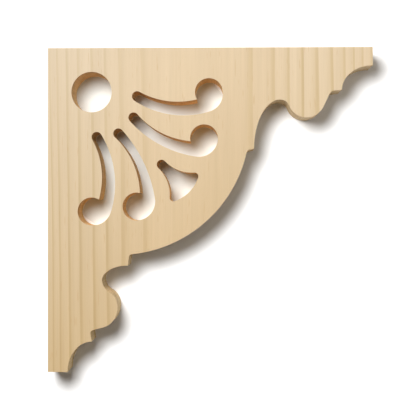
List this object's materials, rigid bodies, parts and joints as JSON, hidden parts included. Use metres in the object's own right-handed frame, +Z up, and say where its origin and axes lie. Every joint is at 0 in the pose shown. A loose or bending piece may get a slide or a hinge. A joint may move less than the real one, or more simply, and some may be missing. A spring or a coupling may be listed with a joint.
{
  "type": "corner bracket",
  "caption": "Flat scroll-sawn softwood corner bracket with a scalloped outline, a round hole, curved slots and a fan-shaped hole, fixed in the corner between a post and a beam.",
  "frame": {"origin": "middle of the straight edge that sits against the post, at mid thickness", "axes": "+X along the beam, away from the post; +Y from the front face to the back face; +Z up, out of the straight edge that sits under the beam"},
  "size_m": [0.254, 0.019, 0.254],
  "materials": {
    "pine": "planed and sanded, unfinished"
  },
  "bodies": {
    "root": {"bracket": "pine"}
  },
  "joints": []
}
